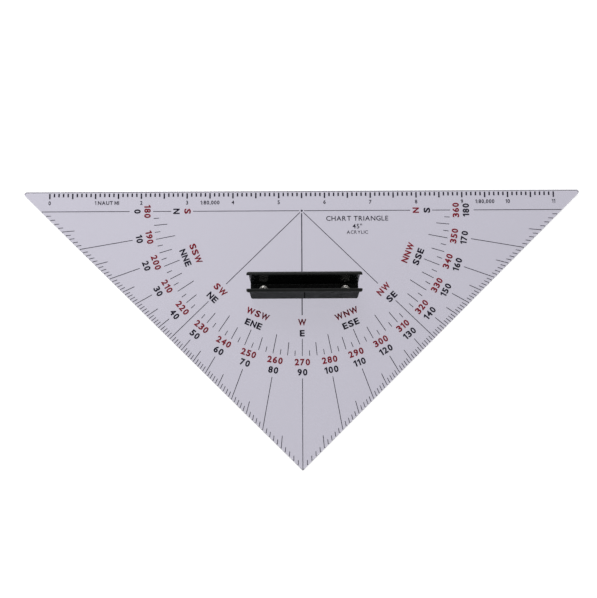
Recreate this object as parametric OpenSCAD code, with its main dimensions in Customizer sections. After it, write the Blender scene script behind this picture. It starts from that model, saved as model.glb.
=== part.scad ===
// Navigator's protractor triangle: a clear 45-45-90 set square with a screwed-on channel handle.
// It lies flat on z = 0 with its long edge towards +Y and its right-angled tip towards -Y.
// The origin is the middle of the box around the triangle, on the underside.

/* [Plate] */
// Long side, from sharp corner to sharp corner
hypotenuse = 283.4; // [200:0.1:420]
// Thickness of the clear sheet
plate_t = 3; // [2.6:0.1:5]
// Radius of the two 45 degree tips
tip_r = 1.2; // [0.8:0.1:3]
// Radius of the right-angled tip
apex_r = 0.6; // [0.5:0.1:3]

/* [Handle] */
// Length of the walls, without the ends of the lips
handle_len = 54.4; // [46:0.1:80]
// Height of the handle above the plate
handle_h = 18.5; // [11:0.5:22]
// Width across the foot
foot_w = 8.7; // [7.6:0.1:9]
// Width across both lips
lip_span = 10.3; // [9.6:0.1:12]
// Thickness of each wall
wall_t = 1.4; // [1.2:0.1:1.5]
// Thickness of the floor
floor_t = 2; // [1.8:0.1:2.6]
// Thickness of each lip
lip_t = 1.7; // [1.6:0.05:2]
// Height of each lip
lip_h = 1.4; // [1.3:0.1:2.4]
// How far a lip runs on past the end of its wall
lip_end = 1.2; // [0.4:0.1:1.6]
// Radius of the four upright corners
corner_r = 1.1; // [0.6:0.1:1.2]
// Distance from the long edge of the plate to the middle of the handle
handle_from_edge = 51.6; // [40:0.1:60]
// Distance of the middle of the handle from the centre line of the plate
handle_offset = 1.2; // [0:0.1:2]
// Width of the index notch in the middle of each side
notch_w = 0.5; // [0.3:0.1:0.8]
// Depth of the index notch
notch_depth = 0.25; // [0.1:0.05:0.4]

/* [Screws] */
// Distance between the two screws
screw_pitch = 40.5; // [30:0.1:44]
// Diameter of the thread
thread_d = 2.5; // [2:0.1:3]
// Diameter of the countersunk head
head_d = 4.4; // [4:0.1:4.6]
// Depth of the cone under the head
cone_h = 1.1; // [0.9:0.1:1.3]
// Height of the rim of the head above the handle's floor
crown_h = 0.4; // [0.25:0.05:0.6]
// Radius of the shallow dish in the top of the head
dish_r = 1.9; // [1.6:0.05:2]
// Slope of the dish in degrees
dish_slope = 7; // [3:0.5:10]
// Length from the edge of the head to the end of the thread
screw_len = 4.7; // [4:0.1:4.8]
// Width of the arms of the cross recess
recess_w = 0.65; // [0.5:0.05:0.8]
// Length across the cross recess
recess_span = 2.5; // [2:0.1:2.8]
// Depth of the cross recess below the rim
recess_depth = 1.1; // [0.8:0.1:1.3]

/* [Hidden] */
$fn = 64;

clear = [0.80, 0.79, 0.85, 0.5];
black = [0.08, 0.08, 0.09];
steel = [0.75, 0.75, 0.73];

// Radius of the flat floor of the dish, and how much the head narrows from its edge to its rim
dish_floor_r = 0.7;
rim_taper = 0.15;

// Room between a thread and its hole, and the overlap of a cut past a face
thread_gap = 0.02;
cut = 0.5;

// The long edge and the sharp right-angled corner, with the rounded outline centred on the origin
apex_inset = apex_r * (sqrt(2) - 1);
edge_y = (hypotenuse / 2 - apex_inset) / 2;
apex_y = edge_y - hypotenuse / 2;
// Centres of the rounds at the tips, and the angle between the long edge and a leg
tip_angle = 45;
tip_center = [hypotenuse / 2 - tip_r / tan(tip_angle / 2), edge_y - tip_r];
apex_center = [0, apex_y + apex_r * sqrt(2)];
// Directions square to the long edge and to each leg, seen from the middle of the plate
edge_dir = 90;
left_leg_dir = 225;
right_leg_dir = 315;
turn = 360;
// Straight steps in the round of each tip
tip_steps = 12;

handle_y = edge_y - handle_from_edge;
floor_z = plate_t + floor_t;
lip_z = handle_h - lip_h;
// Where the inner and outer wall faces stand at the foot and under the lips
inner_foot = foot_w / 2 - wall_t;
inner_top = lip_span / 2 - lip_t;
outer_top = inner_top + wall_t;
// Lean of the outer wall face
lean = atan((outer_top - foot_w / 2) / lip_z);
// Radii of the outer top corner and the other corners of a lip
lip_r_out = 0.8;
lip_r_in = 0.35;

// Points along a round from one direction to another
function arc(center, r, from, to) =
    [for (i = [0:tip_steps]) let (a = from + (to - from) * i / tip_steps) center + r * [cos(a), sin(a)]];

module plate_outline() {
    polygon(concat(
        arc([-tip_center.x, tip_center.y], tip_r, edge_dir, left_leg_dir),
        arc(apex_center, apex_r, left_leg_dir, right_leg_dir),
        arc(tip_center, tip_r, right_leg_dir, edge_dir + turn)
    ));
}

module plate() {
    color(clear)
        difference() {
            linear_extrude(height = plate_t) plate_outline();
            for (side = [-1, 1])
                screw_place(side)
                    translate([0, 0, -floor_z - cut])
                        cylinder(h = plate_t + 2 * cut, r = thread_d / 2 + thread_gap);
        }
}

// Puts a screw's own origin, the middle of the edge of its head, in place
module screw_place(side) {
    translate([handle_offset + side * screw_pitch / 2, handle_y, floor_z]) children();
}

// Cross section of the floor and both walls, up to the underside of the lips
module channel_section() {
    polygon([
        [-foot_w / 2, 0], [foot_w / 2, 0], [outer_top, lip_z + lip_r_in],
        [inner_top, lip_z + lip_r_in], [inner_foot, floor_t],
        [-inner_foot, floor_t], [-inner_top, lip_z + lip_r_in], [-outer_top, lip_z + lip_r_in]
    ]);
}

// Cross section of one lip: a rounded bar whose outer corner has the larger radius
module lip_section() {
    x0 = inner_top;
    x1 = lip_span / 2;
    polygon([
        [x0, lip_z], [x1 - lip_r_in, lip_z], [x1, lip_z + lip_r_in],
        [x1, handle_h - lip_r_out], [x1 - lip_r_out, handle_h],
        [x0 + lip_r_in, handle_h], [x0, handle_h - lip_r_in]
    ]);
    translate([x1 - lip_r_in, lip_z + lip_r_in]) circle(r = lip_r_in);
    translate([x1 - lip_r_out, handle_h - lip_r_out]) circle(r = lip_r_out);
    translate([x0 + lip_r_in, handle_h - lip_r_in]) circle(r = lip_r_in);
}

// Extrudes a section drawn across the handle along X, centred on the middle of the handle
module along_handle(len) {
    translate([-len / 2, 0, 0]) rotate([90, 0, 90]) linear_extrude(height = len) children();
}

// Cutter that rounds one upright corner at the +X end and +Y side, along the lean of the wall
module corner_cutter() {
    translate([handle_len / 2, foot_w / 2, 0]) rotate([-lean, 0, 0])
        translate([-corner_r, -corner_r, -cut])
            linear_extrude(height = lip_z + 2 * cut)
                difference() {
                    square(corner_r + cut);
                    circle(r = corner_r);
                }
}

// Walls and floor with their upright corners rounded
module channel() {
    difference() {
        along_handle(handle_len) channel_section();
        for (mx = [0, 1], my = [0, 1])
            mirror([mx, 0, 0]) mirror([0, my, 0]) corner_cutter();
        for (my = [0, 1])
            mirror([0, my, 0])
                translate([0, foot_w / 2, 0]) rotate([-lean, 0, 0])
                    translate([-notch_w / 2, -notch_depth, -cut])
                        cube([notch_w, notch_depth + cut, lip_z + cut]);
    }
}

module handle() {
    color(black)
        difference() {
            translate([handle_offset, handle_y, plate_t]) {
                channel();
                for (my = [0, 1])
                    mirror([0, my, 0]) along_handle(handle_len + 2 * lip_end) lip_section();
            }
            for (side = [-1, 1])
                screw_place(side) {
                    translate([0, 0, -cone_h])
                        cylinder(h = cone_h, r1 = thread_d / 2, r2 = head_d / 2);
                    cylinder(h = cut, r = head_d / 2);
                    translate([0, 0, -floor_t - cut])
                        cylinder(h = floor_t + cut, r = thread_d / 2 + thread_gap);
                }
        }
}

// Raised countersunk screw with a dished top, drawn with the edge of its head at the origin
module screw() {
    dish_depth = (dish_r - dish_floor_r) * tan(dish_slope);
    difference() {
        union() {
            cylinder(h = crown_h, r1 = head_d / 2, r2 = head_d / 2 - rim_taper);
            translate([0, 0, -cone_h]) cylinder(h = cone_h, r1 = thread_d / 2, r2 = head_d / 2);
            translate([0, 0, -screw_len]) cylinder(h = screw_len - cone_h, r = thread_d / 2);
        }
        translate([0, 0, crown_h - dish_depth])
            cylinder(h = dish_depth + cut, r1 = dish_floor_r, r2 = dish_r + cut / tan(dish_slope));
        for (quarter = [0, 90])
            rotate([0, 0, quarter])
                translate([-recess_span / 2, -recess_w / 2, crown_h - recess_depth])
                    cube([recess_span, recess_w, recess_depth + cut]);
    }
}

module screw_left() { color(steel) screw_place(-1) screw(); }
module screw_right() { color(steel) screw_place(1) screw(); }

plate();
handle();
screw_left();
screw_right();
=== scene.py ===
"""Navigator's protractor triangle: a clear printed set square with a black channel handle.

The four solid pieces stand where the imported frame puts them. The print, which has no thickness
in the frame, is laid just inside the underside of the sheet.
"""
import logging
import math
from dataclasses import dataclass, field
from enum import Enum

import bmesh
import bpy
from bmesh.types import BMEdge, BMesh, BMFace, BMVert
from bpy.types import Material, Node, NodeSocket, Object
from mathutils import Matrix, Vector


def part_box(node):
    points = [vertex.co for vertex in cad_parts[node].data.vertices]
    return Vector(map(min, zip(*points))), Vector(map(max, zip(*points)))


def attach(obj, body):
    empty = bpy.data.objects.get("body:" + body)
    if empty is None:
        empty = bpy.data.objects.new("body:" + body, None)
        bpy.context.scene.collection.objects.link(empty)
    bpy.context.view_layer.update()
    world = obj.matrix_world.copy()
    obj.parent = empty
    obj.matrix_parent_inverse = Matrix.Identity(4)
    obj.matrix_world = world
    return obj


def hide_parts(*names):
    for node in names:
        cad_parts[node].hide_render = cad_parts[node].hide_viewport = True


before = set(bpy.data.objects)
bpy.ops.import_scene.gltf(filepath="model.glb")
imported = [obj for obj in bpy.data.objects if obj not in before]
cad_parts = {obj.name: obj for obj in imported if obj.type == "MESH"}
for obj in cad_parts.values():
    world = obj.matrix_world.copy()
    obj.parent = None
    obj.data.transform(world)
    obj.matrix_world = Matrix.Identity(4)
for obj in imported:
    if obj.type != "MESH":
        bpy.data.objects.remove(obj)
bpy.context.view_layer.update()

log = logging.getLogger("protractor_triangle")

MM = 0.001
BODY = "root"
Colour = tuple[float, float, float]


# ---------------------------------------------------------------- materials


class NodeBench:
    """A material's node tree with short calls to add and join nodes."""

    def __init__(self, name: str) -> None:
        """Starts an empty material.

        Args:
            name: The material's name.
        """
        self.material = bpy.data.materials.new(name)
        self.material.use_nodes = True
        self.tree = self.material.node_tree
        self.tree.nodes.clear()
        self.output = self.add("ShaderNodeOutputMaterial")
        self.coords = self.add("ShaderNodeTexCoord").outputs["Object"]

    def add(self, kind: str, **settings: object) -> Node:
        """Adds a node.

        Args:
            kind: The node's class name.
            **settings: Attributes of the node, or starting values of its inputs by name
                with spaces written as underscores.

        Returns:
            The new node.
        """
        node = self.tree.nodes.new(kind)
        for key, value in settings.items():
            if hasattr(node, key):
                setattr(node, key, value)
            else:
                node.inputs[key.replace("_", " ")].default_value = value
        return node

    def join(self, source: NodeSocket, target: NodeSocket) -> None:
        """Links one socket to another."""
        self.tree.links.new(source, target)

    def noise(self, scale: float, detail: float = 4.0, stretch: Colour = (1.0, 1.0, 1.0)) -> NodeSocket:
        """Adds a noise pattern on object coordinates.

        Args:
            scale: Pattern frequency, per metre.
            detail: Octaves of finer noise.
            stretch: How much the coordinates are scaled along each axis first.

        Returns:
            The pattern's value, from 0 to 1.
        """
        mapping = self.add("ShaderNodeMapping", Scale=stretch)
        self.join(self.coords, mapping.inputs["Vector"])
        noise = self.add("ShaderNodeTexNoise", Scale=scale, Detail=detail)
        self.join(mapping.outputs["Vector"], noise.inputs["Vector"])
        return noise.outputs["Fac"]

    def remap(self, value: NodeSocket, low: float, high: float,
              start: float = 0.3, stop: float = 0.7) -> NodeSocket:
        """Turns part of a value's range into another range.

        Args:
            value: The value to turn.
            low: The result at start.
            high: The result at stop.
            start: Where the part of the range begins.
            stop: Where it ends.

        Returns:
            The new value.
        """
        node = self.add("ShaderNodeMapRange", From_Min=start, From_Max=stop, To_Min=low, To_Max=high)
        self.join(value, node.inputs["Value"])
        return node.outputs["Result"]

    def blend(self, factor: NodeSocket, low: Colour, high: Colour) -> NodeSocket:
        """Mixes two colours by a value.

        Args:
            factor: 0 for the first colour, 1 for the second.
            low: The first colour.
            high: The second colour.

        Returns:
            The mixed colour.
        """
        ramp = self.add("ShaderNodeValToRGB")
        ramp.color_ramp.elements[0].color = (*low, 1.0)
        ramp.color_ramp.elements[1].color = (*high, 1.0)
        self.join(factor, ramp.inputs["Fac"])
        return ramp.outputs["Color"]

    def bump(self, height: NodeSocket, depth: float, strength: float,
             under: NodeSocket | None = None) -> NodeSocket:
        """Turns a height pattern into a surface normal.

        Args:
            height: The pattern, from 0 to 1.
            depth: The real height it stands for, in metres.
            strength: How much of it shows, from 0 to 1.
            under: A normal that this one lies on, if any.

        Returns:
            The normal.
        """
        node = self.add("ShaderNodeBump", Strength=strength, Distance=depth)
        self.join(height, node.inputs["Height"])
        if under is not None:
            self.join(under, node.inputs["Normal"])
        return node.outputs["Normal"]

    def finish(self, shader: NodeSocket) -> Material:
        """Joins the last shader to the output and gives back the material."""
        self.join(shader, self.output.inputs["Surface"])
        return self.material


@dataclass(frozen=True)
class ClearAcrylic:
    """Polished clear sheet with a cool tint, hairline scratches and a little haze from handling."""

    tint: Colour = (0.553, 0.538, 0.609)
    bend: float = 1.49

    def make(self) -> Material:
        """Returns the material. Light that only passes through goes straight, tinted the same."""
        bench = NodeBench("clear_acrylic")
        haze = bench.remap(bench.noise(60.0, 6.0), 0.01, 0.05)
        scratches = bench.noise(900.0, 2.0, (1.0, 0.02, 1.0))
        crossed = bench.noise(700.0, 2.0, (0.03, 1.0, 1.0))
        normal = bench.bump(bench.remap(scratches, 0.0, 1.0, 0.62, 0.78), 0.002 * MM, 0.25)
        normal = bench.bump(bench.remap(crossed, 0.0, 1.0, 0.62, 0.78), 0.002 * MM, 0.25, normal)
        sheet = bench.add("ShaderNodeBsdfPrincipled", IOR=self.bend, Transmission_Weight=1.0)
        sheet.inputs["Base Color"].default_value = (*self.tint, 1.0)
        bench.join(haze, sheet.inputs["Roughness"])
        bench.join(normal, sheet.inputs["Normal"])
        straight = bench.add("ShaderNodeBsdfTransparent")
        straight.inputs["Color"].default_value = (*(math.sqrt(c) for c in self.tint), 1.0)
        paths = bench.add("ShaderNodeLightPath")
        shader = sheet.outputs[0]
        for ray in ("Is Diffuse Ray", "Is Shadow Ray"):
            mix = bench.add("ShaderNodeMixShader")
            bench.join(paths.outputs[ray], mix.inputs["Fac"])
            bench.join(shader, mix.inputs[1])
            bench.join(straight.outputs[0], mix.inputs[2])
            shader = mix.outputs[0]
        return bench.finish(shader)


@dataclass(frozen=True)
class BlackMoulding:
    """Injection moulded black plastic, satin outside and glossier where the tool was polished."""

    name: str
    colour: Colour
    worn: Colour
    smooth: float
    rough: float
    shine: float
    grain: float

    def make(self) -> Material:
        """Returns the material, with a fine spark grain and slightly paler worn edges."""
        bench = NodeBench(self.name)
        mottle = bench.noise(350.0, 5.0)
        edges = bench.add("ShaderNodeNewGeometry").outputs["Pointiness"]
        wear = bench.remap(edges, 0.0, 1.0, 0.52, 0.62)
        cloud = bench.remap(mottle, 0.0, 0.35)
        total = bench.add("ShaderNodeMath", operation="MAXIMUM")
        bench.join(wear, total.inputs[0])
        bench.join(cloud, total.inputs[1])
        plastic = bench.add("ShaderNodeBsdfPrincipled", IOR=1.5, Specular_IOR_Level=self.shine)
        bench.join(bench.blend(total.outputs[0], self.colour, self.worn), plastic.inputs["Base Color"])
        bench.join(bench.remap(mottle, self.smooth, self.rough), plastic.inputs["Roughness"])
        bench.join(bench.bump(bench.noise(4200.0, 2.0), 0.02 * MM, self.grain), plastic.inputs["Normal"])
        return bench.finish(plastic.outputs[0])


@dataclass(frozen=True)
class PlatedSteel:
    """Bright nickel plate over turned steel, darker in the concave places and in random duller patches."""

    bright: Colour = (0.78, 0.76, 0.72)
    dull: Colour = (0.42, 0.40, 0.37)

    def make(self) -> Material:
        """Returns the material, with fine turning marks and duller patches."""
        bench = NodeBench("plated_steel")
        patches = bench.noise(900.0, 5.0)
        # Darker where the surface is concave.
        hollows = bench.remap(bench.add("ShaderNodeNewGeometry").outputs["Pointiness"], 1.0, 0.0, 0.42, 0.5)
        darkening = bench.add("ShaderNodeMath", operation="MAXIMUM")
        bench.join(hollows, darkening.inputs[0])
        bench.join(bench.remap(patches, 0.0, 0.5, 0.5, 0.8), darkening.inputs[1])
        steel = bench.add("ShaderNodeBsdfPrincipled", Metallic=1.0)
        bench.join(bench.blend(darkening.outputs[0], self.bright, self.dull), steel.inputs["Base Color"])
        bench.join(bench.remap(patches, 0.16, 0.34), steel.inputs["Roughness"])
        bench.join(bench.bump(bench.noise(5000.0, 2.0), 0.01 * MM, 0.15), steel.inputs["Normal"])
        return bench.finish(steel.outputs[0])


@dataclass(frozen=True)
class PrintingInk:
    """Screen printed ink, even but for small changes in how thickly it was laid."""

    name: str
    full: Colour
    thin: Colour

    def make(self) -> Material:
        """Returns the material, with slight clouding and a fine mesh texture."""
        bench = NodeBench(self.name)
        clouds = bench.remap(bench.noise(500.0, 6.0), 0.0, 1.0)
        ink = bench.add("ShaderNodeBsdfPrincipled", IOR=1.45, Specular_IOR_Level=0.2)
        bench.join(bench.blend(clouds, self.full, self.thin), ink.inputs["Base Color"])
        bench.join(bench.remap(clouds, 0.55, 0.7, 0.0, 1.0), ink.inputs["Roughness"])
        bench.join(bench.bump(bench.noise(9000.0, 1.0), 0.005 * MM, 0.2), ink.inputs["Normal"])
        return bench.finish(ink.outputs[0])


class Ink(Enum):
    """The two printing colours."""

    BLACK = "black_ink"
    RED = "red_ink"


# ---------------------------------------------------------------- mesh helpers


def stand(name: str, bm: BMesh) -> Object:
    """Turns a bmesh into an object of the scene, and frees it."""
    mesh = bpy.data.meshes.new(name)
    bm.to_mesh(mesh)
    bm.free()
    made = bpy.data.objects.new(name, mesh)
    bpy.context.scene.collection.objects.link(made)
    return made


def place(name: str, bm: BMesh, materials: list[Material]) -> Object:
    """Turns a finished bmesh into a piece that rides on the body.

    Args:
        name: The piece's name.
        bm: Its shape, in place. It is freed.
        materials: Its materials, in the order of the faces' numbers.

    Returns:
        The new object.
    """
    piece = stand(name, bm)
    for material in materials:
        piece.data.materials.append(material)
    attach(piece, BODY)
    return piece


def shade(piece: Object, crease: float = 32.0) -> None:
    """Smooths the shading of a piece between edges sharper than a number of degrees."""
    for polygon in piece.data.polygons:
        polygon.use_smooth = True
    piece.data.set_sharp_from_angle(angle=math.radians(crease))


def settle(piece: Object) -> None:
    """Applies a piece's modifiers to its mesh."""
    graph = bpy.context.evaluated_depsgraph_get()
    mesh = bpy.data.meshes.new_from_object(piece.evaluated_get(graph))
    piece.modifiers.clear()
    old, piece.data = piece.data, mesh
    name = old.name
    bpy.data.meshes.remove(old)
    mesh.name = name


def carve(piece: Object, bm: BMesh) -> None:
    """Cuts a shape out of a piece.

    Args:
        piece: The piece to cut.
        bm: The cutter's shape, in the same frame. It is freed.
    """
    bmesh.ops.recalc_face_normals(bm, faces=bm.faces)
    cutter = stand("cutter", bm)
    cut = piece.modifiers.new("cut", "BOOLEAN")
    cut.operation = "DIFFERENCE"
    cut.solver = "EXACT"
    cut.use_self = True
    cut.object = cutter
    settle(piece)
    mesh = cutter.data
    bpy.data.objects.remove(cutter)
    bpy.data.meshes.remove(mesh)


def extrude(bm: BMesh, faces: list[BMFace]) -> list[BMVert]:
    """Extrudes faces in place and returns the corners of the new ones."""
    grown = bmesh.ops.extrude_face_region(bm, geom=faces)["geom"]
    return [item for item in grown if isinstance(item, BMVert)]


def loop_edges(bm: BMesh) -> list[BMEdge]:
    """Returns the edges that only one face uses."""
    return [edge for edge in bm.edges if edge.is_boundary]


def lathe(bm: BMesh, profile: list[tuple[float, float]], steps: int) -> None:
    """Spins a profile round the Z axis into a closed shape.

    Args:
        bm: The bmesh to add to.
        profile: Radius and height of each corner. It starts and ends on the axis.
        steps: Sides of the turned shape.
    """
    points = [bm.verts.new((radius, 0.0, height)) for radius, height in profile]
    chain = [bm.edges.new(pair) for pair in zip(points, points[1:])]
    bmesh.ops.spin(bm, geom=points + chain, cent=(0, 0, 0), axis=(0, 0, 1), angle=math.tau,
                   steps=steps, use_merge=True, use_normal_flip=False)
    bmesh.ops.remove_doubles(bm, verts=bm.verts, dist=0.0005 * MM)
    bmesh.ops.recalc_face_normals(bm, faces=bm.faces)


# ---------------------------------------------------------------- the sheet


@dataclass
class Sheet:
    """The clear triangle, with rounded tips, softly broken edges and two tapped holes."""

    tip_radius: float = 1.2 * MM
    apex_radius: float = 0.6 * MM
    edge_radius: float = 0.3 * MM
    hole_radius: float = 1.27 * MM
    round_steps: int = 12
    low: Vector = field(default_factory=lambda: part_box("plate")[0])
    high: Vector = field(default_factory=lambda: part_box("plate")[1])

    @property
    def long_edge(self) -> float:
        """Y of the long edge."""
        return self.high.y

    @property
    def half_span(self) -> float:
        """Distance from the centre line to a sharp 45 degree corner."""
        return self.high.x + self.tip_radius * math.sqrt(2.0)

    @property
    def thickness(self) -> float:
        """Thickness of the sheet."""
        return self.high.z - self.low.z

    def rounds(self) -> list[tuple[Vector, Vector, float, float]]:
        """Where the three tips are rounded.

        Returns:
            For each tip, anticlockwise from the left: the centre of its round, the point
            where the round starts, its angle and its radius.
        """
        setback = self.tip_radius / math.tan(math.radians(22.5))
        x, y = self.half_span - setback, self.long_edge - self.tip_radius
        apex = Vector((0.0, self.long_edge - self.half_span + self.apex_radius * math.sqrt(2.0), 0.0))
        slant = Vector((-1.0, -1.0, 0.0)).normalized()
        return [
            (Vector((-x, y, 0)), Vector((-x, y + self.tip_radius, 0)), math.radians(135), self.tip_radius),
            (apex, apex + slant * self.apex_radius, math.radians(90), self.apex_radius),
            (Vector((x, y, 0)), Vector((x - slant.x * self.tip_radius, y + slant.y * self.tip_radius, 0)),
             math.radians(135), self.tip_radius),
        ]

    def outline(self, bm: BMesh, holes: list[Vector]) -> None:
        """Draws the outline and fills it round the holes.

        Args:
            bm: The bmesh to draw in.
            holes: The middle of each hole.
        """
        first = last = None
        for centre, start, angle, _ in self.rounds():
            begin = bm.verts.new(start)
            end = bmesh.ops.spin(bm, geom=[begin], cent=centre, axis=(0, 0, 1), angle=angle,
                                 steps=self.round_steps)["geom_last"][0]
            if last is not None:
                bm.edges.new((last, begin))
            first, last = first or begin, end
        bm.edges.new((last, first))
        for hole in holes:
            bmesh.ops.create_circle(bm, segments=40, radius=self.hole_radius,
                                    matrix=Matrix.Translation((hole.x, hole.y, 0.0)))
        bmesh.ops.triangle_fill(bm, use_beauty=True, use_dissolve=False, edges=bm.edges[:])

    def round_rim(self, bm: BMesh, side: float) -> None:
        """Rounds the rims of the face that looks up or down.

        Args:
            bm: The sheet's bmesh.
            side: 1 for the upper face, -1 for the underside.
        """
        bm.normal_update()
        region = [face for face in bm.faces if face.normal.z * side > 0.99]
        turns = [math.radians(a) for a in (0.0, 30.0, 60.0, 90.0)]
        for before, after in zip(turns, turns[1:]):
            bmesh.ops.inset_region(
                bm, faces=region, use_boundary=True, use_even_offset=True,
                thickness=self.edge_radius * (math.cos(before) - math.cos(after)),
                depth=self.edge_radius * (math.sin(after) - math.sin(before)))

    def build(self, holes: list[Vector], finish: ClearAcrylic) -> Object:
        """Builds and dresses the sheet.

        Args:
            holes: The middle of each screw hole.
            finish: The sheet's material.

        Returns:
            The piece that stands for the plate.
        """
        bm = bmesh.new()
        self.outline(bm, holes)
        bmesh.ops.recalc_face_normals(bm, faces=bm.faces)
        tops = extrude(bm, bm.faces[:])
        bmesh.ops.translate(bm, verts=bm.verts, vec=(0, 0, self.low.z + self.edge_radius))
        bmesh.ops.translate(bm, verts=tops, vec=(0, 0, self.thickness - 2 * self.edge_radius))
        bmesh.ops.recalc_face_normals(bm, faces=bm.faces)
        for side in (1.0, -1.0):
            self.round_rim(bm, side)
        piece = place("clear_sheet", bm, [finish.make()])
        self.polish(piece.data)
        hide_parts("plate")
        return piece

    def polish(self, mesh: bpy.types.Mesh) -> None:
        """Gives the broad faces perfectly flat shading that rolls over evenly at the rims.

        Args:
            mesh: The finished sheet.
        """
        normals = []
        for vert in mesh.vertices:
            level = Vector((vert.normal.x, vert.normal.y, 0.0)).normalized()
            over = (abs(vert.co.z - self.thickness / 2) - self.thickness / 2) / self.edge_radius + 1.0
            rise = math.copysign(min(max(over, 0.0), 1.0), vert.co.z - self.thickness / 2)
            level *= math.sqrt(1.0 - rise * rise)
            normals.append(Vector((level.x, level.y, rise)))
        for polygon in mesh.polygons:
            polygon.use_smooth = True
        mesh.normals_split_custom_set_from_vertices(normals)


# ---------------------------------------------------------------- the print

# Height of a capital in the built-in lettering, as a share of its size
CAPITAL = 0.682
# Widths of the bold characters beside the height of a capital
DIGIT_WIDTH = 0.68
BOLD_WIDTHS = {**{str(digit): DIGIT_WIDTH for digit in range(10)},
               "1": 0.44, "N": 0.86, "E": 0.74, "S": 0.83, "W": 1.26}


@dataclass(eq=False)
class Typeface:
    """A style of lettering. All its sizes are shares of the height of a capital."""

    weight: float
    widen: float = 1.0
    gap: float = 0.14
    space: float = 0.3
    widths: dict[str, float] = field(default_factory=dict)
    drawn: dict[tuple[str, float], tuple[bpy.types.Mesh, float]] = field(default_factory=dict)

    def outline(self, character: str) -> list[tuple[float, float]]:
        """Returns the corners of a character that has its own drawing: the 1 with a flag, and the M."""
        stem = 0.1 + 2 * self.weight
        if character == "1":
            flag = 0.2
            return [(flag, 0.0), (flag + stem, 0.0), (flag + stem, 1.0), (flag + stem / 3, 1.0),
                    (0.0, 0.84), (0.0, 0.84 - stem), (flag, 0.94 - stem)]
        if character == "M":
            middle, valley = 0.44, 0.42
            left = [(middle, 0.0), (stem, 1.0 - valley), (stem, 0.0), (0.0, 0.0), (0.0, 1.0), (stem, 1.0)]
            return [*left, (middle, valley), *((2 * middle - x, y) for x, y in reversed(left[1:]))]
        return []

    def draw(self, character: str) -> BMesh:
        """Draws a character flat, from its own drawing or else in the built-in lettering."""
        bm = bmesh.new()
        outline = self.outline(character)
        if outline:
            face = bm.faces.new([bm.verts.new((x * CAPITAL, y * CAPITAL, 0.0)) for x, y in outline])
            face.normal_update()
            bmesh.ops.triangulate(bm, faces=[face])
            return bm
        curve = bpy.data.curves.new("lettering", "FONT")
        curve.body, curve.size, curve.resolution_u = character, 1.0, 3
        curve.offset = self.weight * CAPITAL
        maker = bpy.data.objects.new("lettering", curve)
        flat = bpy.data.meshes.new_from_object(maker)
        bm.from_mesh(flat)
        bmesh.ops.remove_doubles(bm, verts=bm.verts, dist=0.0002)
        bmesh.ops.triangulate(bm, faces=bm.faces)
        bpy.data.objects.remove(maker)
        bpy.data.curves.remove(curve)
        bpy.data.meshes.remove(flat)
        return bm

    def glyph(self, character: str, depth: float) -> tuple[bpy.types.Mesh, float]:
        """Makes a character as a closed plate one capital high, centred on its ink.

        Args:
            character: The character.
            depth: Thickness of the plate.

        Returns:
            The plate, and the width of its ink.
        """
        key = (character, round(depth, 6))
        if key not in self.drawn:
            bm = self.draw(character)
            xs = [vert.co.x for vert in bm.verts]
            fattened = 0.0 if self.outline(character) else 2 * self.weight
            grow = 1.0 / (CAPITAL * (1.0 + fattened))
            bmesh.ops.translate(bm, verts=bm.verts, vec=(-(min(xs) + max(xs)) / 2, -CAPITAL / 2, 0.0))
            bmesh.ops.scale(bm, verts=bm.verts, vec=(grow, grow, 1.0))
            bmesh.ops.translate(bm, verts=extrude(bm, bm.faces[:]), vec=(0, 0, depth))
            bmesh.ops.recalc_face_normals(bm, faces=bm.faces)
            plate = bpy.data.meshes.new("glyph")
            bm.to_mesh(plate)
            bm.free()
            self.drawn[key] = (plate, (max(xs) - min(xs)) * grow)
        return self.drawn[key]

    def put_away(self) -> None:
        """Throws away the plates that the characters were drawn on."""
        for plate, _ in self.drawn.values():
            bpy.data.meshes.remove(plate)
        self.drawn.clear()


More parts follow.
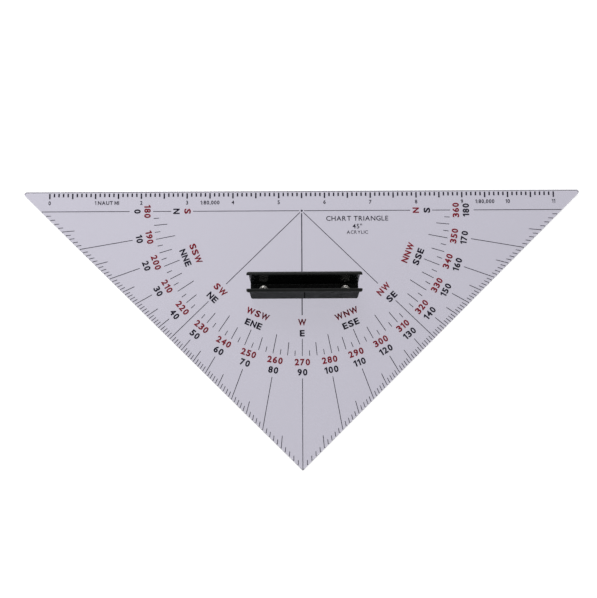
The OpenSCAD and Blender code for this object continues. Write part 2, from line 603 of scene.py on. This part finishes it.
@dataclass
class Layer:
    """Thin ink laid in one colour just inside the underside of the sheet."""

    ink: Ink
    bottom: float = 0.02 * MM
    depth: float = 0.03 * MM
    bm: BMesh = field(default_factory=bmesh.new)

    def bar(self, start: Vector, end: Vector, width: float) -> None:
        """Lays a straight line.

        Args:
            start: One end, as seen from above.
            end: The other end.
            width: Width of the line.
        """
        run = end - start
        middle = (start + end) / 2
        matrix = (Matrix.Translation((middle.x, middle.y, self.bottom + self.depth / 2))
                  @ Matrix.Rotation(math.atan2(run.y, run.x), 4, "Z")
                  @ Matrix.Diagonal((run.length, width, self.depth, 1.0)))
        bmesh.ops.create_cube(self.bm, size=1.0, matrix=matrix)

    def dot(self, centre: Vector, radius: float) -> None:
        """Lays a round dot of a radius round a point."""
        matrix = Matrix.Translation((centre.x, centre.y, self.bottom + self.depth / 2))
        bmesh.ops.create_cone(self.bm, cap_ends=True, segments=32, radius1=radius, radius2=radius,
                              depth=self.depth, matrix=matrix)

    def trim(self, point: Vector, outward: Vector) -> None:
        """Cuts off all ink beyond a line.

        Args:
            point: A point on the line.
            outward: The direction square to the line, towards the ink to cut off.
        """
        geom = self.bm.verts[:] + self.bm.edges[:] + self.bm.faces[:]
        bmesh.ops.bisect_plane(self.bm, geom=geom, dist=0.0001 * MM, plane_co=point, plane_no=outward,
                               clear_outer=True)
        bmesh.ops.holes_fill(self.bm, edges=loop_edges(self.bm), sides=8)

    def letters(self, text: str, matrix: Matrix, height: float, face: Typeface) -> None:
        """Sets a word centred on a place.

        Args:
            text: The word or number.
            matrix: The place and turn of its middle.
            height: Height of a capital.
            face: The style of its characters.
        """
        pen = 0.0
        placed = []
        for character in text:
            if character == " ":
                pen += face.space
                continue
            glyph, natural = face.glyph(character, self.depth / height)
            width = face.widths.get(character, natural * face.widen)
            placed.append((glyph, pen + width / 2, width / natural))
            pen += width + face.gap
        half = (pen - face.gap) / 2
        lift = Matrix.Translation((0.0, 0.0, self.bottom))
        for glyph, middle, squeeze in placed:
            before = len(self.bm.verts)
            self.bm.from_mesh(glyph)
            self.bm.verts.ensure_lookup_table()
            local = (Matrix.Translation(((middle - half) * height, 0.0, 0.0))
                     @ Matrix.Diagonal((height * squeeze, height, height, 1.0)))
            bmesh.ops.transform(self.bm, verts=self.bm.verts[before:], matrix=lift @ matrix @ local)

    def build(self, name: str, finish: PrintingInk) -> Object:
        """Builds and dresses the ink laid so far.

        Args:
            name: The piece's name.
            finish: The ink's material.

        Returns:
            The printed piece.
        """
        bmesh.ops.recalc_face_normals(self.bm, faces=self.bm.faces)
        return place(name, self.bm, [finish.make()])


@dataclass
class Print:
    """All that is printed on the sheet, set out round the protractor's centre."""

    sheet: Sheet
    centre_drop: float = 9.93 * MM
    trim_gap: float = 0.12 * MM
    fine: float = 0.34 * MM
    middle: float = 0.5 * MM
    scale_line: float = 0.76 * MM
    dot_radius: float = 0.55 * MM
    numeral_height: float = 3.3 * MM
    outer_ring: float = 74.7 * MM
    black_numerals: float = 82.9 * MM
    red_numerals: float = 77.8 * MM
    black_points: float = 63.2 * MM
    red_points: float = 57.6 * MM
    overrun: float = 1.0 * MM
    numeral_room: float = 3.5 * MM
    degree_tick: float = 3.0 * MM
    five_degree_tick: float = 6.8 * MM
    quarter_ticks: tuple[float, ...] = (8.4 * MM, 9.7 * MM, 6.6 * MM, 2.7 * MM)
    tenth_tick: float = 2.3 * MM
    half_tick: float = 3.3 * MM
    scale_letters: float = 2.0 * MM
    scale_row: float = 5.4 * MM
    maker_place: float = 28.0 * MM
    mile: float = 23.15 * MM
    miles: int = 11
    bold: Typeface = field(default_factory=lambda: Typeface(weight=0.058, widths=BOLD_WIDTHS))
    small: Typeface = field(default_factory=lambda: Typeface(weight=0.04, widen=0.94, gap=0.12))
    plain: Typeface = field(default_factory=lambda: Typeface(weight=0.018, gap=0.16, space=0.35))

    @property
    def centre(self) -> Vector:
        """The protractor's centre, where all its lines meet."""
        return Vector((0.0, self.sheet.long_edge - self.centre_drop, 0.0))

    def ray(self, degrees: float) -> Vector:
        """Returns the direction of a bearing: 0 to the left, 90 to the tip, 180 to the right."""
        angle = math.radians(degrees)
        return Vector((-math.cos(angle), -math.sin(angle), 0.0))

    def reach(self, degrees: float) -> float:
        """Returns the distance from the centre to the edge of the sheet along a bearing."""
        ray = self.ray(degrees)
        corner = self.sheet.half_span - self.centre_drop
        return corner / (abs(ray.x) + abs(ray.y))

    def radial(self, layer: Layer, degrees: float, inner: float, outer: float, width: float) -> None:
        """Lays a line along a bearing.

        Args:
            layer: The ink to lay it in.
            degrees: The bearing.
            inner: Distance from the centre to its near end.
            outer: Distance to its far end.
            width: Width of the line.
        """
        ray = self.ray(degrees)
        layer.bar(self.centre + ray * inner, self.centre + ray * outer, width)

    def label(self, layer: Layer, text: str, degrees: float, radius: float) -> None:
        """Sets a word across a bearing, its top towards the centre.

        Args:
            layer: The ink to set it in.
            text: The word or number.
            degrees: The bearing.
            radius: Distance from the centre to its middle.
        """
        spot = self.centre + self.ray(degrees) * radius
        turn = Matrix.Rotation(math.radians(degrees - 90.0), 4, "Z")
        layer.letters(text, Matrix.Translation(spot) @ turn, self.numeral_height, self.bold)

    def degree_ticks(self, layer: Layer) -> None:
        """Lays a tick for every degree along the two short edges."""
        for degree in range(1, 180):
            if degree in (45, 90, 135):
                continue
            edge = self.reach(degree)
            if degree % 10 == 0:
                start = self.black_numerals + self.numeral_room
            else:
                start = edge - (self.degree_tick if degree % 5 else self.five_degree_tick)
            self.radial(layer, degree, start, edge + self.overrun, self.fine)

    def compass_ticks(self, layer: Layer) -> None:
        """Lays a tick for every quarter point inside the ring of numerals."""
        quarters = 64
        for quarter in range(1, quarters):
            if quarter % 16 == 0:
                continue
            rank = next(rank for rank, step in enumerate((8, 4, 2, 1)) if quarter % step == 0)
            length = self.quarter_ticks[rank]
            bearing = 180.0 * quarter / quarters
            self.radial(layer, bearing, self.outer_ring - length, self.outer_ring, self.fine)

    def main_lines(self, layer: Layer) -> None:
        """Lays the baseline, the centre line and the two diagonals, open where words stand."""
        near = 1.2 * MM
        for bearings, breaks in (
            ((0.0, 180.0), (54.8 * MM, 65.8 * MM, 75.0 * MM, 86.8 * MM)),
            ((45.0, 135.0), (53.6 * MM, 66.0 * MM)),
        ):
            for bearing in bearings:
                stops = (near, *breaks, self.reach(bearing) + self.overrun)
                for inner, outer in zip(stops[::2], stops[1::2]):
                    self.radial(layer, bearing, inner, outer, self.fine)
        self.radial(layer, 90.0, near, 54.0 * MM, self.middle)
        self.radial(layer, 90.0, 66.0 * MM, 74.7 * MM, self.fine)
        self.radial(layer, 90.0, 86.0 * MM, self.reach(90.0) + self.overrun, self.fine)
        layer.dot(self.centre, self.dot_radius)

    def numerals(self, black: Layer, red: Layer) -> None:
        """Sets the two rows of bearings: 0 to 180 in black and 180 to 360 in red."""
        for degree in range(0, 181, 10):
            self.label(black, str(degree), degree, self.black_numerals)
            self.label(red, str(degree + 180), degree, self.red_numerals)

    def compass_points(self, black: Layer, red: Layer) -> None:
        """Sets the names of the compass points, in black for the outer row and red for the inner."""
        outer = ("N", "NNE", "NE", "ENE", "E", "ESE", "SE", "SSE", "S")
        inner = ("S", "SSW", "SW", "WSW", "W", "WNW", "NW", "NNW", "N")
        step = 22.5
        for number, (first, second) in enumerate(zip(outer, inner)):
            self.label(black, first, number * step, self.black_points)
            self.label(red, second, number * step, self.red_points)

    def mile_scale(self, layer: Layer) -> None:
        """Lays the mile scale along the long edge, tenths of a mile with a number at each mile."""
        edge = self.sheet.long_edge
        left = -self.mile * self.miles / 2
        tenths = 10
        for tick in range(self.miles * tenths + 1):
            x = left + self.mile * tick / tenths
            length = self.tenth_tick if tick % 5 else self.half_tick
            top, end = Vector((x, edge + self.overrun, 0.0)), Vector((x, edge - length, 0.0))
            layer.bar(top, end, self.scale_line)
        row = edge - self.scale_row
        words = {mile: str(mile) for mile in range(self.miles + 1) if mile != 1}
        words |= {1.25: "1 NAUT MI", 3.5: "1:80,000", 9.5: "1:80,000"}
        for mile, word in words.items():
            spot = Vector((left + self.mile * mile, row, 0.0))
            layer.letters(word, Matrix.Translation(spot), self.scale_letters, self.small)

    def maker_block(self, layer: Layer) -> None:
        """Sets three short lines that say what the sheet is."""
        for text, drop, height in (
            ("CHART TRIANGLE", 4.1 * MM, 2.5 * MM),
            ("45°", 8.2 * MM, 2.4 * MM),
            ("ACRYLIC", 11.3 * MM, 1.7 * MM),
        ):
            spot = Vector((self.maker_place, self.centre.y - drop, 0.0))
            layer.letters(text, Matrix.Translation(spot), height, self.plain)

    def build(self, black_ink: PrintingInk, red_ink: PrintingInk) -> list[Object]:
        """Builds and dresses the print.

        Args:
            black_ink: The black ink's material.
            red_ink: The red ink's material.

        Returns:
            The printed pieces: lines, black words and red words.
        """
        lines, black, red = Layer(Ink.BLACK), Layer(Ink.BLACK), Layer(Ink.RED)
        self.main_lines(lines)
        self.degree_ticks(lines)
        self.compass_ticks(lines)
        self.mile_scale(lines)
        self.numerals(black, red)
        self.compass_points(black, red)
        self.maker_block(black)
        for face in (self.bold, self.small, self.plain):
            face.put_away()
        edge = self.sheet.long_edge
        corner = Vector((0.0, edge - self.sheet.half_span, 0.0))
        inset = self.sheet.edge_radius + self.trim_gap
        for point, outward in (
            (Vector((0.0, edge, 0.0)), Vector((0.0, 1.0, 0.0))),
            (corner, Vector((-1.0, -1.0, 0.0)).normalized()),
            (corner, Vector((1.0, -1.0, 0.0)).normalized()),
        ):
            lines.trim(point - outward * inset, outward)
        return [
            lines.build("printed_lines", black_ink),
            black.build("printed_black_words", black_ink),
            red.build("printed_red_words", red_ink),
        ]


# ---------------------------------------------------------------- the handle


class Side(Enum):
    """The differently finished parts of the handle. MARK is the index notch, dressed in a darker, matt
    black as painted shade.
    """

    OUTSIDE = "outside"
    LIP = "lip"
    INSIDE = "inside"
    MARK = "mark"


@dataclass
class Handle:
    """The black channel: a floor, two walls that lean outwards and a rounded lip on each."""

    foot_width: float = 8.7 * MM
    wall: float = 1.4 * MM
    floor: float = 2.0 * MM
    lip_thickness: float = 1.7 * MM
    lip_height: float = 1.4 * MM
    lip_overrun: float = 1.2 * MM
    draft: float = 0.5 * MM
    corner_radius: float = 1.1 * MM
    crown_radius: float = 1.0 * MM
    lip_radius: float = 0.25 * MM
    soft_edge: float = 0.15 * MM
    fillet: float = 0.5 * MM
    notch_width: float = 0.5 * MM
    notch_depth: float = 0.25 * MM
    screw_gap: float = 0.02 * MM
    low: Vector = field(default_factory=lambda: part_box("handle")[0])
    high: Vector = field(default_factory=lambda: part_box("handle")[1])

    def __post_init__(self) -> None:
        """Works out the places that follow from the frame and the sizes."""
        self.centre = Vector(((self.low.x + self.high.x) / 2, (self.low.y + self.high.y) / 2, self.low.z))
        self.half_lip_span = (self.high.y - self.low.y) / 2
        self.height = self.high.z - self.low.z
        self.half_length = (self.high.x - self.low.x) / 2 - self.lip_overrun
        self.shoulder = self.height - self.lip_height
        self.inner_top = self.half_lip_span - self.lip_thickness
        self.outer_top = self.inner_top + self.wall
        self.inner_foot = self.foot_width / 2 - self.wall

    def section(self, bm: BMesh) -> None:
        """Draws the cross section at the -X end: the channel and, on each wall, a lip."""
        x = -self.half_length
        corners = {
            "foot": (self.foot_width / 2, 0.0), "outer": (self.outer_top, self.shoulder),
            "inner": (self.inner_top, self.shoulder), "floor": (self.inner_foot, self.floor),
            "edge": (self.half_lip_span, self.shoulder), "crown": (self.half_lip_span, self.height),
            "top": (self.inner_top, self.height),
        }
        sides = [{key: bm.verts.new((x, sign * y, z)) for key, (y, z) in corners.items()}
                 for sign in (-1.0, 1.0)]
        left, right = sides
        bm.faces.new([left["foot"], right["foot"], right["outer"], right["inner"],
                      right["floor"], left["floor"], left["inner"], left["outer"]])
        for side in sides:
            bm.faces.new([side[key] for key in ("inner", "outer", "edge", "crown", "top")])

    def near(self, value: float, target: float) -> bool:
        """Tells whether two lengths are the same to within a tenth of a millimetre."""
        return abs(value - target) < MM / 10

    def bevel(self, bm: BMesh, edges: list[BMEdge], radius: float, steps: int) -> None:
        """Rounds edges of the handle to a radius in a number of steps."""
        bmesh.ops.bevel(bm, geom=edges, offset=radius, offset_type="OFFSET", segments=steps, profile=0.5,
                        affect="EDGES", clamp_overlap=False, material=-1)

    def uprights(self, bm: BMesh) -> list[BMEdge]:
        """Returns the upright outer corners of the walls and of the lips' ends."""
        found = []
        for edge in bm.edges:
            low, high = sorted((vert.co for vert in edge.verts), key=lambda co: co.z)
            wall = self.near(low.z, 0.0) and self.near(high.z, self.shoulder)
            lip = self.near(low.z, self.shoulder) and self.near(high.z, self.height)
            outer = self.near(abs(high.y), self.half_lip_span) and abs(low.x) > self.half_length + MM / 2
            if wall or lip and outer:
                found.append(edge)
        return found

    def crowns(self, bm: BMesh) -> list[BMEdge]:
        """Returns the outer top edges of the lips, round both of their ends."""
        return [edge for edge in bm.edges
                if all(self.near(vert.co.z, self.height) for vert in edge.verts)
                and not all(self.near(abs(vert.co.y), self.inner_top) for vert in edge.verts)]

    def sharp(self, bm: BMesh, low: float, least: float) -> list[BMEdge]:
        """Finds outward corners.

        Args:
            bm: The handle's bmesh.
            low: Height above which both ends of an edge must lie.
            least: Least angle between its faces, in degrees.

        Returns:
            The edges found.
        """
        bm.normal_update()
        return [edge for edge in bm.edges
                if edge.is_convex and edge.calc_face_angle(0.0) > math.radians(least)
                and all(vert.co.z > low for vert in edge.verts)]

    def hollows(self, bm: BMesh) -> list[BMEdge]:
        """Returns the two long inner corners between the floor and the walls."""
        return [edge for edge in bm.edges if all(
            self.near(vert.co.z, self.floor) and self.near(abs(vert.co.y), self.inner_foot)
            for vert in edge.verts) and abs(edge.verts[0].co.x - edge.verts[1].co.x) > MM]

    def body(self) -> BMesh:
        """Returns the channel with its lips, rounded, in its place on the sheet."""
        bm = bmesh.new()
        self.section(bm)
        bmesh.ops.translate(bm, verts=extrude(bm, bm.faces[:]), vec=(2 * self.half_length, 0, 0))
        bmesh.ops.recalc_face_normals(bm, faces=bm.faces)
        for sign in (-1.0, 1.0):
            bm.normal_update()
            ends = [face for face in bm.faces
                    if face.normal.x * sign > 0.99 and face.calc_center_median().z > self.shoulder]
            tips = extrude(bm, ends)
            bmesh.ops.delete(bm, geom=ends, context="FACES_ONLY")
            bmesh.ops.translate(bm, verts=tips, vec=(sign * self.lip_overrun, 0, 0))
        for vert in bm.verts:
            below = max(0.0, 1 - vert.co.z / self.shoulder)
            vert.co.x -= math.copysign(self.draft * below, vert.co.x)
        bmesh.ops.recalc_face_normals(bm, faces=bm.faces)
        bmesh.ops.dissolve_limit(bm, verts=bm.verts, edges=bm.edges, angle_limit=math.radians(1.0))
        self.bevel(bm, self.hollows(bm), self.fillet, 4)
        self.bevel(bm, self.uprights(bm), self.corner_radius, 6)
        self.bevel(bm, self.crowns(bm), self.crown_radius, 6)
        self.bevel(bm, self.sharp(bm, self.shoulder - MM / 10, 60.0), self.lip_radius, 3)
        self.bevel(bm, self.sharp(bm, -MM, 60.0), self.soft_edge, 2)
        bmesh.ops.translate(bm, verts=bm.verts, vec=self.centre)
        return bm

    def countersinks(self, screws: list["Screw"]) -> BMesh:
        """Returns the cutter for the two screw holes."""
        bm = bmesh.new()
        for screw in screws:
            hole = bmesh.new()
            radius = screw.thread_radius + self.screw_gap
            head = screw.head_radius + self.screw_gap
            lathe(hole, [(0.0, -self.floor - MM), (radius, -self.floor - MM), (radius, -screw.cone),
                         (head, 0.0), (head, MM), (0.0, MM)], 48)
            bmesh.ops.translate(hole, verts=hole.verts, vec=screw.seat)
            part = bpy.data.meshes.new("hole")
            hole.to_mesh(part)
            hole.free()
            bm.from_mesh(part)
            bpy.data.meshes.remove(part)
        return bm

    def notches(self) -> BMesh:
        """Returns the cutter for the index notch in the middle of each outer wall face."""
        bm = bmesh.new()
        run = self.outer_top - self.foot_width / 2
        lean = math.atan2(run, self.shoulder)
        deep = 2 * self.notch_depth
        tall = self.shoulder / math.cos(lean) - MM
        for sign in (-1.0, 1.0):
            foot = Vector((self.centre.x, self.centre.y + sign * self.foot_width / 2, self.centre.z))
            matrix = (Matrix.Translation(foot) @ Matrix.Rotation(-sign * lean, 4, "X")
                      @ Matrix.Translation((0, 0, tall / 2 + MM / 2))
                      @ Matrix.Diagonal((self.notch_width, deep, tall, 1.0)))
            bmesh.ops.create_cube(bm, size=1.0, matrix=matrix)
        return bm

    def side(self, polygon: bpy.types.MeshPolygon) -> Side:
        """Tells which finish a face of the handle has."""
        centre = polygon.center - self.centre
        inward = polygon.normal.y * centre.y < 0 or polygon.normal.z > 0.7
        wall_face = self.foot_width / 2 + (self.outer_top - self.foot_width / 2) * centre.z / self.shoulder
        sunk = MM / 10 < wall_face - abs(centre.y) < self.notch_depth + MM / 10
        if sunk and abs(centre.x) < self.notch_width and centre.z < self.shoulder:
            return Side.MARK
        if centre.z > self.shoulder - MM / 20:
            return Side.LIP if centre.z > self.height - 0.7 * self.lip_height or not inward else Side.INSIDE
        if abs(centre.y) < self.inner_top and inward and abs(polygon.normal.x) < 0.7:
            return Side.INSIDE
        return Side.OUTSIDE

    def build(self, screws: list["Screw"], finishes: dict[Side, BlackMoulding]) -> Object:
        """Builds and dresses the handle.

        Args:
            screws: The screws that pass through its floor.
            finishes: The finish of each side.

        Returns:
            The piece that stands for the handle.
        """
        materials = [finishes[side].make() for side in Side]
        piece = place("channel_handle", self.body(), materials)
        carve(piece, self.countersinks(screws))
        carve(piece, self.notches())
        for polygon in piece.data.polygons:
            polygon.material_index = list(Side).index(self.side(polygon))
        shade(piece, 40.0)
        weigh = piece.modifiers.new("even_shading", "WEIGHTED_NORMAL")
        weigh.keep_sharp = True
        settle(piece)
        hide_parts("handle")
        return piece


# ---------------------------------------------------------------- the screws


@dataclass
class Screw:
    """A raised countersunk machine screw with a cross recess and a real helical thread."""

    node: str
    turn: float
    cone: float = 1.1 * MM
    thread_radius: float = 1.25 * MM
    pitch: float = 0.45 * MM
    recess_span: float = 2.5 * MM
    recess_width: float = 0.65 * MM
    recess_depth: float = 1.1 * MM
    rim_radius: float = 0.25 * MM
    dish_radius: float = 1.9 * MM
    dish_floor: float = 0.7 * MM
    dish_slope: float = 7.0

    def __post_init__(self) -> None:
        """Works out the places that follow from the frame."""
        low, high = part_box(self.node)
        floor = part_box("handle")[0].z + Handle.floor
        self.seat = Vector(((low.x + high.x) / 2, (low.y + high.y) / 2, floor))
        self.head_radius = (high.x - low.x) / 2
        self.crown = high.z - floor
        self.length = floor - low.z

    def blank(self) -> BMesh:
        """Returns the turned blank: crown, cone, shank down to the thread's root and point."""
        root = self.thread_radius - 0.61 * self.pitch
        chamfer = 0.3 * MM
        profile = [(0.0, -self.length), (root - chamfer, -self.length), (root, -self.length + chamfer),
                   (root, -self.cone - self.pitch), (self.thread_radius, -self.cone),
                   (self.head_radius - 0.06 * MM, -0.06 * MM), (self.head_radius, 0.0)]
        steps = 6
        for step in range(1, steps + 1):
            turn = math.radians(90.0) * step / steps
            profile.append((self.head_radius - self.rim_radius * (1 - math.cos(turn)),
                            self.crown - self.rim_radius * (1 - math.sin(turn))))
        sunk = self.crown - (self.dish_radius - self.dish_floor) * math.tan(math.radians(self.dish_slope))
        profile += [(self.dish_radius, self.crown), (self.dish_floor, sunk), (0.0, sunk)]
        bm = bmesh.new()
        lathe(bm, profile, 64)
        return bm

    def thread(self, bm: BMesh) -> None:
        """Winds the thread's ridge round the shank."""
        root = self.thread_radius - 0.61 * self.pitch
        low = -self.length + 0.35 * MM
        turns = (self.length - self.cone - 0.5 * MM) / self.pitch
        half = self.pitch * 0.44
        ridge = [bm.verts.new((radius, 0.0, low + rise)) for radius, rise in (
            (root - 0.05 * MM, -half), (self.thread_radius, -0.06 * MM),
            (self.thread_radius, 0.06 * MM), (root - 0.05 * MM, half))]
        face = bm.faces.new(ridge)
        steps = 36
        bmesh.ops.spin(bm, geom=[face], cent=(0, 0, 0), axis=(0, 0, 1), angle=math.tau * turns,
                       steps=round(steps * turns), use_merge=False,
                       dvec=(0, 0, self.pitch / steps))

    def recess(self) -> BMesh:
        """Returns the cutter for the cross recess, two tapered blades set crosswise."""
        bm = bmesh.new()
        over = 0.3 * MM
        tall = self.recess_depth + over
        for quarter in (0.0, 90.0):
            made = bmesh.ops.create_cube(bm, size=1.0)["verts"]
            bmesh.ops.scale(bm, verts=made, vec=(self.recess_span, self.recess_width, tall))
            feet = [vert for vert in made if vert.co.z < 0]
            bmesh.ops.scale(bm, verts=feet, vec=(0.45, 0.6, 1.0))
            spin = Matrix.Rotation(math.radians(quarter + self.turn), 4, "Z")
            lift = Matrix.Translation((0, 0, self.crown + over - tall / 2))
            bmesh.ops.transform(bm, verts=made, matrix=Matrix.Translation(self.seat) @ lift @ spin)
        return bm

    def build(self, finish: Material) -> Object:
        """Builds and dresses the screw.

        Args:
            finish: The plated steel's material.

        Returns:
            The piece that stands for the screw.
        """
        bm = self.blank()
        bmesh.ops.translate(bm, verts=bm.verts, vec=self.seat)
        piece = place("machine_" + self.node, bm, [finish])
        carve(piece, self.recess())
        bm = bmesh.new()
        self.thread(bm)
        bmesh.ops.recalc_face_normals(bm, faces=bm.faces)
        bmesh.ops.translate(bm, verts=bm.verts, vec=self.seat)
        bm.from_mesh(piece.data)
        bm.to_mesh(piece.data)
        bm.free()
        shade(piece, 35.0)
        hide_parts(self.node)
        return piece


# ---------------------------------------------------------------- the studio


@dataclass
class Studio:
    """A plain white table that glows as painted light, in soft, nearly even light, and the camera above its
    near side.
    """

    tilt: float = 13.0
    distance: float = 0.85
    aim: Vector = field(default_factory=lambda: Vector((0.0, 0.014, 0.0)))
    lens: float = 102.5
    roll: float = -0.28
    shift: tuple[float, float] = (-0.006, 0.0042)
    table_gap: float = 0.3 * MM
    glow: tuple[float, float] = (0.82, 1.04)
    wall_light: float = 1.0
    roof_light: float = 0.1
    walls_end: float = 0.3
    roof_start: float = 0.55

    def table(self) -> Object:
        """Returns the white table top, just under the sheet. It glows as painted light, brighter towards
        the back left.
        """
        bm = bmesh.new()
        bmesh.ops.create_grid(bm, x_segments=1, y_segments=1, size=4.0,
                              matrix=Matrix.Translation((0.0, 0.0, -self.table_gap)))
        table = stand("table", bm)
        bench = NodeBench("white_table")
        paper = bench.add("ShaderNodeBsdfPrincipled", Roughness=0.9, Specular_IOR_Level=0.1)
        paper.inputs["Emission Color"].default_value = (1.0, 1.0, 1.0, 1.0)
        # Painted light: the table's glow rises towards the back left.
        across = bench.add("ShaderNodeVectorMath", operation="DOT_PRODUCT")
        across.inputs[1].default_value = (-0.8, 0.6, 0.0)
        bench.join(bench.coords, across.inputs[0])
        reach = 0.16
        bench.join(bench.remap(across.outputs["Value"], self.glow[0], self.glow[1], -reach, reach),
                   paper.inputs["Emission Strength"])
        tone = bench.blend(bench.noise(12.0, 3.0), (0.39, 0.39, 0.39), (0.41, 0.41, 0.41))
        bench.join(tone, paper.inputs["Base Color"])
        table.data.materials.append(bench.finish(paper.outputs[0]))
        return table

    def sky(self) -> None:
        """Sets the light of a white tent: bright walls and a dim roof where the camera looks in."""
        world = bpy.data.worlds.new("tent")
        world.use_nodes = True
        tree = world.node_tree
        background = tree.nodes["Background"]
        background.inputs["Color"].default_value = (1.0, 1.0, 1.0, 1.0)
        view = tree.nodes.new("ShaderNodeTexCoord")
        split = tree.nodes.new("ShaderNodeSeparateXYZ")
        roof = tree.nodes.new("ShaderNodeMapRange")
        roof.interpolation_type = "SMOOTHSTEP"
        for name, value in (("From Min", self.walls_end), ("From Max", self.roof_start),
                            ("To Min", self.wall_light), ("To Max", self.roof_light)):
            roof.inputs[name].default_value = value
        tree.links.new(view.outputs["Generated"], split.inputs["Vector"])
        tree.links.new(split.outputs["Z"], roof.inputs["Value"])
        tree.links.new(roof.outputs["Result"], background.inputs["Strength"])
        bpy.context.scene.world = world

    def lamp(self, name: str, spot: Vector, size: float, power: float) -> None:
        """Hangs a square soft light that faces the middle of the table.

        Args:
            name: The lamp's name.
            spot: Where it hangs.
            size: Length of its side.
            power: Its power in watts.
        """
        light = bpy.data.lights.new(name, "AREA")
        light.shape, light.size, light.energy = "SQUARE", size, power
        lamp = bpy.data.objects.new(name, light)
        lamp.location = spot
        lamp.rotation_euler = (-spot).to_track_quat("-Z", "Y").to_euler()
        bpy.context.scene.collection.objects.link(lamp)

    def camera(self) -> Object:
        """Returns the camera, tilted a little from straight above towards the near side."""
        tilt = math.radians(self.tilt)
        away = Vector((0.0, -math.sin(tilt), math.cos(tilt)))
        data = bpy.data.cameras.new("camera")
        data.lens = self.lens
        data.shift_x, data.shift_y = self.shift
        data.clip_start, data.clip_end = 0.01, 20.0
        camera = bpy.data.objects.new("camera", data)
        turn = (-away).to_track_quat("-Z", "Y").to_matrix().to_4x4()
        roll = Matrix.Rotation(math.radians(self.roll), 4, "Z")
        camera.matrix_world = Matrix.Translation(self.aim + away * self.distance) @ turn @ roll
        bpy.context.scene.collection.objects.link(camera)
        bpy.context.scene.camera = camera
        return camera

    def build(self) -> None:
        """Sets up the table, the light and the camera."""
        self.table()
        self.sky()
        self.lamp("north_softbox", Vector((-0.35, 1.0, 1.2)), size=0.9, power=9.0)
        self.lamp("roof_lamp", Vector((0.0, 0.03, 1.5)), size=0.16, power=0.3)
        self.camera()
        bpy.context.scene.view_settings.view_transform = "Standard"


# ---------------------------------------------------------------- everything


TEXTURED = BlackMoulding(name="black_textured", colour=(0.006, 0.008, 0.008), worn=(0.011, 0.013, 0.013),
                         smooth=0.62, rough=0.75, shine=0.2, grain=0.3)
RUBBED = BlackMoulding(name="black_rubbed", colour=(0.006, 0.007, 0.007), worn=(0.012, 0.013, 0.013),
                       smooth=0.4, rough=0.48, shine=0.32, grain=0.15)
POLISHED = BlackMoulding(name="black_polished", colour=(0.005, 0.0065, 0.006), worn=(0.008, 0.0095, 0.009),
                         smooth=0.2, rough=0.3, shine=0.25, grain=0.05)
# Painted shade: a darker, matt black with no shine, standing in for the shade inside the index notch.
PAINTED_NOTCH_SHADE = BlackMoulding(name="black_notch_painted_shade", colour=(0.002, 0.0025, 0.0025), worn=(0.003, 0.004, 0.004),
                       smooth=0.8, rough=0.9, shine=0.0, grain=0.3)
BLACK_INK = PrintingInk(name="black_ink", full=(0.026, 0.02, 0.05), thin=(0.038, 0.031, 0.066))
RED_INK = PrintingInk(name="red_ink", full=(0.58, 0.02, 0.05), thin=(0.68, 0.036, 0.066))


def main() -> None:
    """Builds every piece in order."""
    logging.basicConfig(level=logging.INFO, format="%(name)s: %(message)s")
    studio = Studio()
    studio.build()
    screws = [Screw("screw_left", turn=12.0), Screw("screw_right", turn=33.0)]
    sheet = Sheet()
    made = [sheet.build([screw.seat for screw in screws], ClearAcrylic())]
    made += Print(sheet).build(BLACK_INK, RED_INK)
    finishes = {Side.OUTSIDE: TEXTURED, Side.LIP: RUBBED, Side.INSIDE: POLISHED, Side.MARK: PAINTED_NOTCH_SHADE}
    made.append(Handle().build(screws, finishes))
    steel = PlatedSteel().make()
    made += [screw.build(steel) for screw in screws]
    for piece in made:
        log.info("%s: %d faces, %d corners", piece.name, len(piece.data.polygons), len(piece.data.vertices))


if __name__ == "__main__":
    main()
